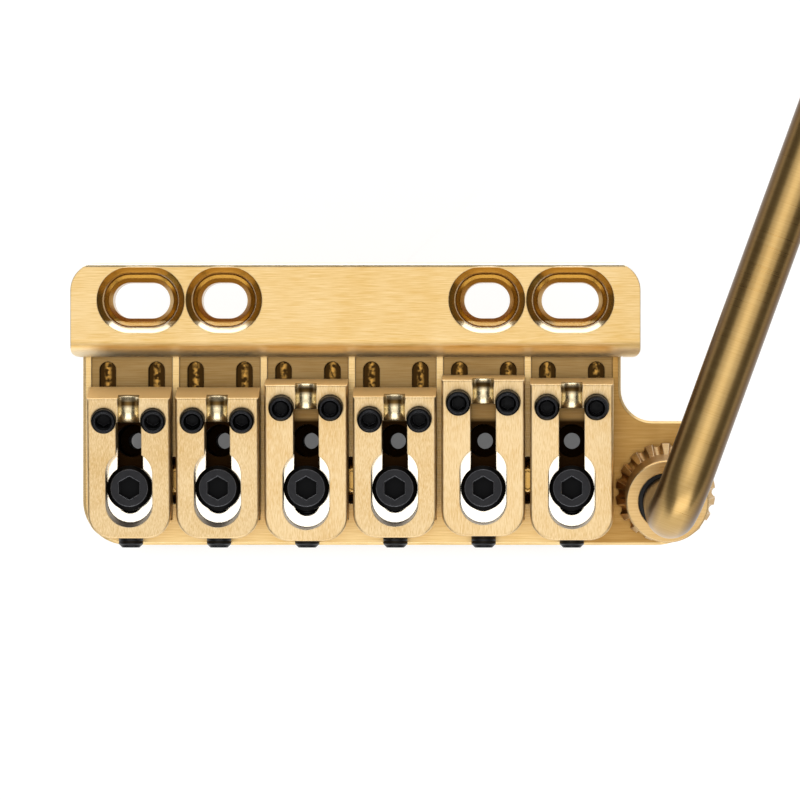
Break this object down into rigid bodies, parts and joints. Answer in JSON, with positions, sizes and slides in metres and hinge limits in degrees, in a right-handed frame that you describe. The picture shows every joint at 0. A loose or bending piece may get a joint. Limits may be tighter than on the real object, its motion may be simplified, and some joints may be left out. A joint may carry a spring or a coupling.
{
  "type": "guitar tremolo bridge",
  "caption": "Brass guitar tremolo bridge: slotted bar, rocking plate with tilted saddles and black screws, inertia block and bent arm in a toothed collar.",
  "frame": {"origin": "on the guitar's top, midway along the bar's line of screw slots", "axes": "+X towards the arm, +Y towards the neck, +Z away from the guitar"},
  "size_m": [0.1312, 0.1577, 0.0806],
  "materials": {
    "brass": "brushed satin",
    "polished_brass": "machined",
    "aged_brass": "brushed, darkened",
    "black_steel": "black oxide",
    "steel": "ground",
    "bush_plastic": "matt",
    "rubber": "matt"
  },
  "bodies": {
    "mount": {"mounting_bar": "brass", "pivot_pins": "steel"},
    "bridge": {"base_plate": "brass", "pivot_bearings": "steel", "inertia_block": "brass", "block_screws": "polished_brass", "clamp_screws": "black_steel", "arm_socket": "polished_brass", "arm_bush": "bush_plastic", "socket_o_ring": "rubber"},
    "wheel": {"tension_wheel": "polished_brass"},
    "arm": {"tremolo_arm": "aged_brass", "arm_tip": "aged_brass"},
    "saddle_low_e": {"saddle_low_e": "brass"},
    "intonation_screw_low_e": {"intonation_screw_low_e": "black_steel"},
    "height_screw_low_e_left": {"height_screw_low_e_left": "black_steel"},
    "height_screw_low_e_right": {"height_screw_low_e_right": "black_steel"},
    "saddle_a": {"saddle_a": "brass"},
    "intonation_screw_a": {"intonation_screw_a": "black_steel"},
    "height_screw_a_left": {"height_screw_a_left": "black_steel"},
    "height_screw_a_right": {"height_screw_a_right": "black_steel"},
    "saddle_d": {"saddle_d": "brass"},
    "intonation_screw_d": {"intonation_screw_d": "black_steel"},
    "height_screw_d_left": {"height_screw_d_left": "black_steel"},
    "height_screw_d_right": {"height_screw_d_right": "black_steel"},
    "saddle_g": {"saddle_g": "brass"},
    "intonation_screw_g": {"intonation_screw_g": "black_steel"},
    "height_screw_g_left": {"height_screw_g_left": "black_steel"},
    "height_screw_g_right": {"height_screw_g_right": "black_steel"},
    "saddle_b": {"saddle_b": "brass"},
    "intonation_screw_b": {"intonation_screw_b": "black_steel"},
    "height_screw_b_left": {"height_screw_b_left": "black_steel"},
    "height_screw_b_right": {"height_screw_b_right": "black_steel"},
    "saddle_high_e": {"saddle_high_e": "brass"},
    "intonation_screw_high_e": {"intonation_screw_high_e": "black_steel"},
    "height_screw_high_e_left": {"height_screw_high_e_left": "black_steel"},
    "height_screw_high_e_right": {"height_screw_high_e_right": "black_steel"}
  },
  "joints": [
    {"name": "bridge_pivot", "type": "hinge", "parent": "mount", "child": "bridge", "pos_m": [0, -0.0051, 0.003], "axis": [-1, 0, 0], "range_deg": [-4, 10]},
    {"name": "arm_swing", "type": "hinge", "parent": "bridge", "child": "arm", "pos_m": [0.03793, -0.02335, 0.0058], "axis": [0.0225, -0.1305, 0.9912], "range_deg": [-110, 75]},
    {"name": "wheel_turn", "type": "hinge", "parent": "bridge", "child": "wheel", "pos_m": [0.03793, -0.02335, 0.0058], "axis": [0.0225, -0.1305, 0.9912], "continuous": true},
    {"name": "saddle_low_e_slide", "type": "slide", "parent": "bridge", "child": "saddle_low_e", "axis": [0, 1, 0], "range_m": [-0.001, 0.001]},
    {"name": "intonation_screw_low_e_turn", "type": "hinge", "parent": "bridge", "child": "intonation_screw_low_e", "pos_m": [-0.0275, -0.0245, 0.0082], "axis": [0, 1, 0], "range_deg": [-721, 721]},
    {"name": "height_screw_low_e_left_turn", "type": "hinge", "parent": "saddle_low_e", "child": "height_screw_low_e_left", "pos_m": [-0.0305, -0.01332, 0.00889], "axis": [0, -0.2079, 0.9781], "continuous": true},
    {"name": "height_screw_low_e_right_turn", "type": "hinge", "parent": "saddle_low_e", "child": "height_screw_low_e_right", "pos_m": [-0.0245, -0.01332, 0.00889], "axis": [0, -0.2079, 0.9781], "continuous": true},
    {"name": "saddle_a_slide", "type": "slide", "parent": "bridge", "child": "saddle_a", "axis": [0, 1, 0], "range_m": [-0.001, 0.001]},
    {"name": "intonation_screw_a_turn", "type": "hinge", "parent": "bridge", "child": "intonation_screw_a", "pos_m": [-0.0167, -0.0245, 0.0082], "axis": [0, 1, 0], "range_deg": [-721, 721]},
    {"name": "height_screw_a_left_turn", "type": "hinge", "parent": "saddle_a", "child": "height_screw_a_left", "pos_m": [-0.0197, -0.01339, 0.00863], "axis": [0, -0.1908, 0.9816], "continuous": true},
    {"name": "height_screw_a_right_turn", "type": "hinge", "parent": "saddle_a", "child": "height_screw_a_right", "pos_m": [-0.0137, -0.01339, 0.00863], "axis": [0, -0.1908, 0.9816], "continuous": true},
    {"name": "saddle_d_slide", "type": "slide", "parent": "bridge", "child": "saddle_d", "axis": [0, 1, 0], "range_m": [-0.001, 0.001]},
    {"name": "intonation_screw_d_turn", "type": "hinge", "parent": "bridge", "child": "intonation_screw_d", "pos_m": [-0.0059, -0.0245, 0.0082], "axis": [0, 1, 0], "range_deg": [-721, 721]},
    {"name": "height_screw_d_left_turn", "type": "hinge", "parent": "saddle_d", "child": "height_screw_d_left", "pos_m": [-0.0089, -0.01237, 0.00765], "axis": [0, -0.1115, 0.9938], "continuous": true},
    {"name": "height_screw_d_right_turn", "type": "hinge", "parent": "saddle_d", "child": "height_screw_d_right", "pos_m": [-0.0029, -0.01237, 0.00765], "axis": [0, -0.1115, 0.9938], "continuous": true},
    {"name": "saddle_g_slide", "type": "slide", "parent": "bridge", "child": "saddle_g", "axis": [0, 1, 0], "range_m": [-0.001, 0.001]},
    {"name": "intonation_screw_g_turn", "type": "hinge", "parent": "bridge", "child": "intonation_screw_g", "pos_m": [0.0049, -0.0245, 0.0082], "axis": [0, 1, 0], "range_deg": [-721, 721]},
    {"name": "height_screw_g_left_turn", "type": "hinge", "parent": "saddle_g", "child": "height_screw_g_left", "pos_m": [0.0019, -0.01339, 0.00828], "axis": [0, -0.1668, 0.986], "continuous": true},
    {"name": "height_screw_g_right_turn", "type": "hinge", "parent": "saddle_g", "child": "height_screw_g_right", "pos_m": [0.0079, -0.01339, 0.00828], "axis": [0, -0.1668, 0.986], "continuous": true},
    {"name": "saddle_b_slide", "type": "slide", "parent": "bridge", "child": "saddle_b", "axis": [0, 1, 0], "range_m": [-0.001, 0.001]},
    {"name": "intonation_screw_b_turn", "type": "hinge", "parent": "bridge", "child": "intonation_screw_b", "pos_m": [0.0157, -0.0245, 0.0082], "axis": [0, 1, 0], "range_deg": [-721, 721]},
    {"name": "height_screw_b_left_turn", "type": "hinge", "parent": "saddle_b", "child": "height_screw_b_left", "pos_m": [0.0127, -0.0119, 0.00725], "axis": [0, -0.0872, 0.9962], "continuous": true},
    {"name": "height_screw_b_right_turn", "type": "hinge", "parent": "saddle_b", "child": "height_screw_b_right", "pos_m": [0.0187, -0.0119, 0.00725], "axis": [0, -0.0872, 0.9962], "continuous": true},
    {"name": "saddle_high_e_slide", "type": "slide", "parent": "bridge", "child": "saddle_high_e", "axis": [0, 1, 0], "range_m": [-0.001, 0.001]},
    {"name": "intonation_screw_high_e_turn", "type": "hinge", "parent": "bridge", "child": "intonation_screw_high_e", "pos_m": [0.0265, -0.0245, 0.0082], "axis": [0, 1, 0], "range_deg": [-721, 721]},
    {"name": "height_screw_high_e_left_turn", "type": "hinge", "parent": "saddle_high_e", "child": "height_screw_high_e_left", "pos_m": [0.0235, -0.01225, 0.00771], "axis": [0, -0.1149, 0.9934], "continuous": true},
    {"name": "height_screw_high_e_right_turn", "type": "hinge", "parent": "saddle_high_e", "child": "height_screw_high_e_right", "pos_m": [0.0295, -0.01225, 0.00771], "axis": [0, -0.1149, 0.9934], "continuous": true}
  ],
  "couplings": [
    {"joint": "intonation_screw_low_e_turn", "follows": "saddle_low_e_slide", "rad_per_m": -12566},
    {"joint": "intonation_screw_a_turn", "follows": "saddle_a_slide", "rad_per_m": -12566},
    {"joint": "intonation_screw_d_turn", "follows": "saddle_d_slide", "rad_per_m": -12566},
    {"joint": "intonation_screw_g_turn", "follows": "saddle_g_slide", "rad_per_m": -12566},
    {"joint": "intonation_screw_b_turn", "follows": "saddle_b_slide", "rad_per_m": -12566},
    {"joint": "intonation_screw_high_e_turn", "follows": "saddle_high_e_slide", "rad_per_m": -12566}
  ]
}
